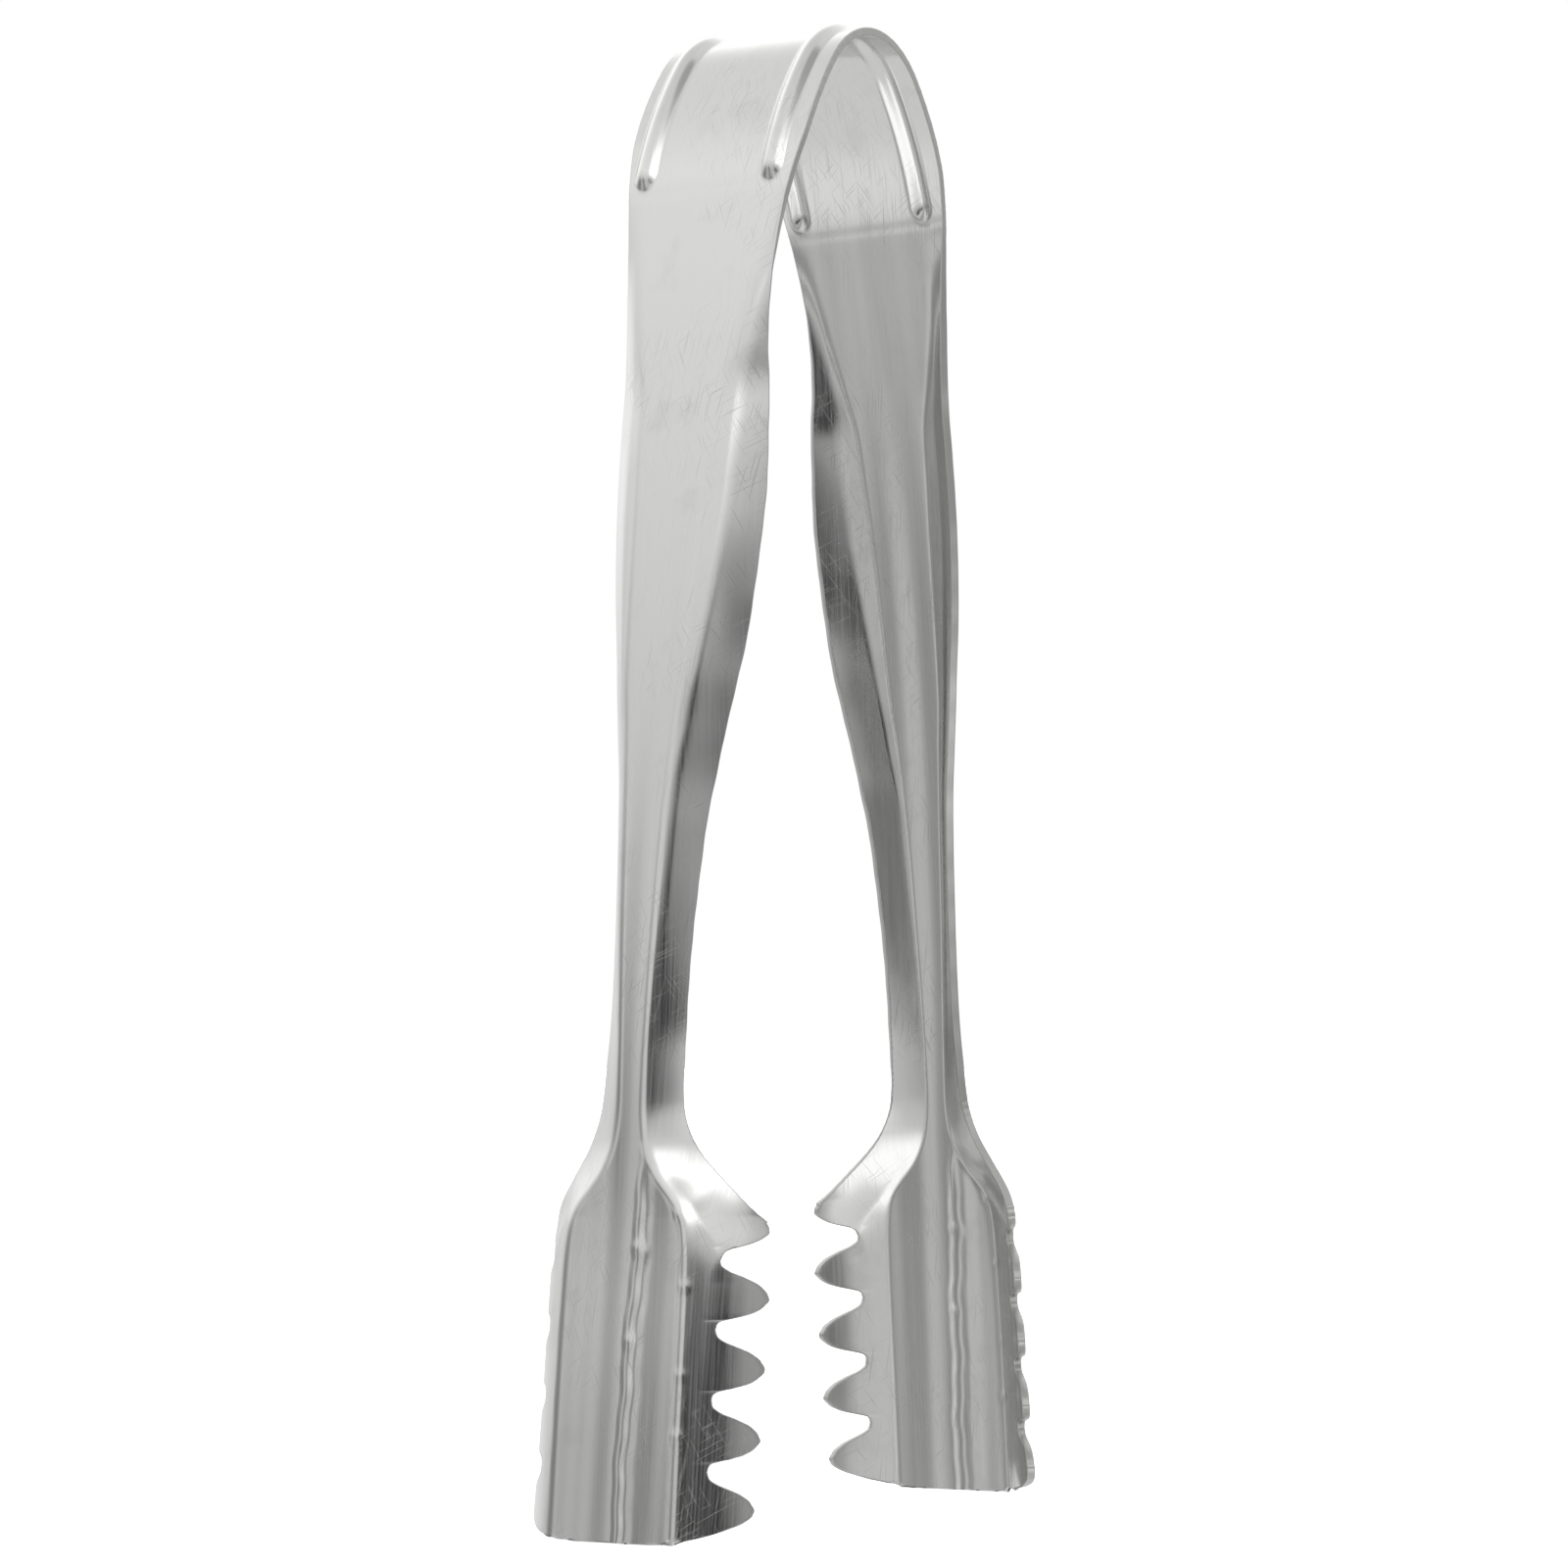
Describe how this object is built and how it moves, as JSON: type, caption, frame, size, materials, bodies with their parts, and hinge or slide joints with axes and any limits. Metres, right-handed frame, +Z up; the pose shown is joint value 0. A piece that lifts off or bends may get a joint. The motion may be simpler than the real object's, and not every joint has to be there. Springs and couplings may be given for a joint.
{
  "type": "ice tongs",
  "caption": "Sprung one-strip ice tongs: a ribbed bow over two channelled arms that open into toothed trough claws and close when squeezed.",
  "frame": {"origin": "middle of the bounding box's bottom, between the claws, on the plane of their bottom edges", "axes": "+Z up to the bow, +X the way the right arm opens, +Y across the strip"},
  "size_m": [0.0772, 0.0266, 0.1658],
  "materials": {
    "stainless": "pressed stainless sheet, worn satin polish with fine scratches"
  },
  "bodies": {
    "bow": {"bow_crown": "stainless"},
    "left_arm": {"left_shoulder": "stainless", "left_grip": "stainless", "left_neck": "stainless", "left_claw": "stainless"},
    "right_arm": {"right_shoulder": "stainless", "right_grip": "stainless", "right_neck": "stainless", "right_claw": "stainless"}
  },
  "joints": [
    {"name": "left_flex", "type": "hinge", "parent": "bow", "child": "left_arm", "pos_m": [-0.00842, 0, 0.16062], "axis": [0, -1, 0], "range_deg": [0, 11.5], "stiffness_Nm_per_rad": 3.2},
    {"name": "right_flex", "type": "hinge", "parent": "bow", "child": "right_arm", "pos_m": [0.00842, 0, 0.16062], "axis": [0, 1, 0], "range_deg": [0, 11.5], "stiffness_Nm_per_rad": 3.2}
  ],
  "couplings": [
    {"joint": "right_flex", "follows": "left_flex", "ratio": 1}
  ]
}
